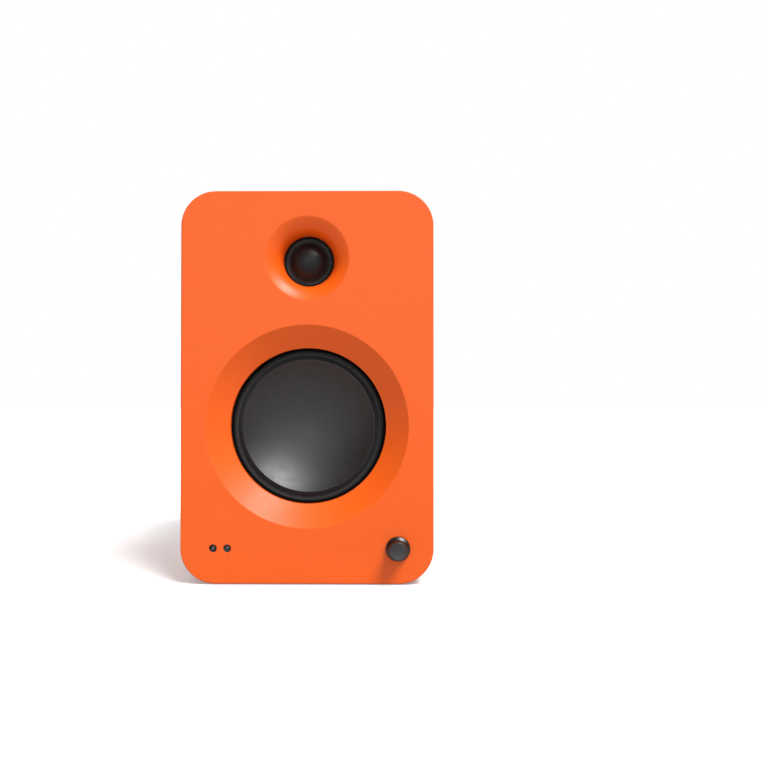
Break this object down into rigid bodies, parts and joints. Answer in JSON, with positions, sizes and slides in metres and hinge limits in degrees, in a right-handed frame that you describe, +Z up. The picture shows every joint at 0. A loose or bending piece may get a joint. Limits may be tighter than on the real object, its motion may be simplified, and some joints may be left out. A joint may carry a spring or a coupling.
{
  "type": "powered bookshelf speaker",
  "caption": "Orange bookshelf speaker with round corners, a flared woofer and tweeter, a front volume knob, and a rear amplifier plate with sockets and a bass port.",
  "frame": {"origin": "centre of the whole object's footprint box, on the surface that its feet stand on", "axes": "+Z up, -Y out of the front with the drive units, +X to the right as seen from the front"},
  "size_m": [0.188, 0.2706, 0.2927],
  "materials": {
    "orange_paint": "satin",
    "raw_board": "matte",
    "black_cone": "satin",
    "black_rubber": "matte",
    "black_plastic": "satin",
    "black_foam": "matte",
    "black_silk": "matte",
    "spider_cloth": "matte",
    "black_metal": "satin",
    "knob_metal": "satin",
    "plated_steel": "satin",
    "bright_aluminium": "satin",
    "ferrite": "matte",
    "copper_wire": "satin",
    "circuit_green": "satin",
    "gold_plate": "gloss",
    "red_plastic": "satin",
    "smoked_lens": "gloss",
    "clear_lens": "gloss",
    "lead_jacket": "satin"
  },
  "bodies": {
    "cabinet": {"cabinet_shell": "orange_paint", "front_fascia": "orange_paint", "rear_panel": "orange_paint", "sub_baffle": "raw_board", "internal_brace": "raw_board", "port_tube": "black_plastic", "damping_foam": "black_foam", "foot_1": "black_rubber", "foot_2": "black_rubber", "foot_3": "black_rubber", "foot_4": "black_rubber", "woofer_basket": "black_metal", "woofer_gasket": "black_foam", "woofer_surround": "black_rubber", "woofer_spider": "spider_cloth", "woofer_top_plate": "plated_steel", "woofer_magnet": "ferrite", "woofer_yoke": "plated_steel", "tweeter_faceplate": "black_plastic", "tweeter_surround": "black_rubber", "tweeter_top_plate": "plated_steel", "tweeter_magnet": "ferrite", "tweeter_yoke": "plated_steel", "tweeter_rear_chamber": "black_plastic", "encoder_body": "black_plastic", "control_board": "circuit_green", "sensor_window": "smoked_lens", "status_lens": "clear_lens", "amp_plate": "black_metal", "amp_board": "circuit_green", "heat_sink": "bright_aluminium", "power_transformer": "ferrite", "filter_capacitor": "black_plastic", "mains_inlet": "black_plastic", "switch_frame": "black_plastic", "rca_block": "gold_plate", "hdmi_socket": "plated_steel", "usb_c_socket": "plated_steel", "aux_jack": "black_plastic", "optical_jack": "black_plastic", "terminal_post_red": "gold_plate", "terminal_post_black": "gold_plate", "plate_screw_1": "black_metal", "plate_screw_2": "black_metal", "plate_screw_3": "black_metal", "plate_screw_4": "black_metal", "woofer_lead": "lead_jacket", "tweeter_lead": "lead_jacket"},
    "volume_rotor": {"encoder_rotor": "black_plastic"},
    "volume_control": {"volume_knob": "knob_metal", "encoder_shaft": "bright_aluminium"},
    "woofer_moving": {"woofer_cone": "black_cone", "woofer_voice_coil": "copper_wire"},
    "tweeter_moving": {"tweeter_dome": "black_silk", "tweeter_voice_coil": "copper_wire"},
    "power_rocker": {"power_rocker": "black_plastic"},
    "terminal_washer_red": {"terminal_washer_red": "gold_plate"},
    "terminal_cap_red": {"terminal_cap_red": "red_plastic"},
    "terminal_washer_black": {"terminal_washer_black": "gold_plate"},
    "terminal_cap_black": {"terminal_cap_black": "black_plastic"}
  },
  "joints": [
    {"name": "volume_turn", "type": "hinge", "parent": "cabinet", "child": "volume_rotor", "pos_m": [0.0675, -0.11005, 0.0269], "axis": [0, 1, 0], "continuous": true},
    {"name": "volume_press", "type": "slide", "parent": "volume_rotor", "child": "volume_control", "axis": [0, 1, 0], "range_m": [0, 0.0005], "stiffness_N_per_m": 2000, "springref_m": -0.001},
    {"name": "woofer_stroke", "type": "slide", "parent": "cabinet", "child": "woofer_moving", "axis": [0, 1, 0], "range_m": [-0.004, 0.004], "stiffness_N_per_m": 1000, "deforming": ["woofer_surround", "woofer_spider"]},
    {"name": "tweeter_stroke", "type": "slide", "parent": "cabinet", "child": "tweeter_moving", "axis": [0, 1, 0], "range_m": [-0.0004, 0.0004], "stiffness_N_per_m": 2000, "deforming": ["tweeter_surround"]},
    {"name": "power_rock", "type": "hinge", "parent": "cabinet", "child": "power_rocker", "pos_m": [0.042, 0.11325, 0.0487], "axis": [1, 0, 0], "range_deg": [0, 16]},
    {"name": "washer_slide_red", "type": "slide", "parent": "cabinet", "child": "terminal_washer_red", "axis": [0, 1, 0], "range_m": [0, 0.005]},
    {"name": "cap_turn_red", "type": "hinge", "parent": "terminal_washer_red", "child": "terminal_cap_red", "pos_m": [0.033, 0.12675, 0.1607], "axis": [0, 1, 0], "range_deg": [0, 1800]},
    {"name": "washer_slide_black", "type": "slide", "parent": "cabinet", "child": "terminal_washer_black", "axis": [0, 1, 0], "range_m": [0, 0.005]},
    {"name": "cap_turn_black", "type": "hinge", "parent": "terminal_washer_black", "child": "terminal_cap_black", "pos_m": [0.052, 0.12675, 0.1607], "axis": [0, 1, 0], "range_deg": [0, 1800]}
  ],
  "couplings": [
    {"joint": "cap_turn_red", "follows": "washer_slide_red", "rad_per_m": 6283.2},
    {"joint": "cap_turn_black", "follows": "washer_slide_black", "rad_per_m": 6283.2}
  ]
}
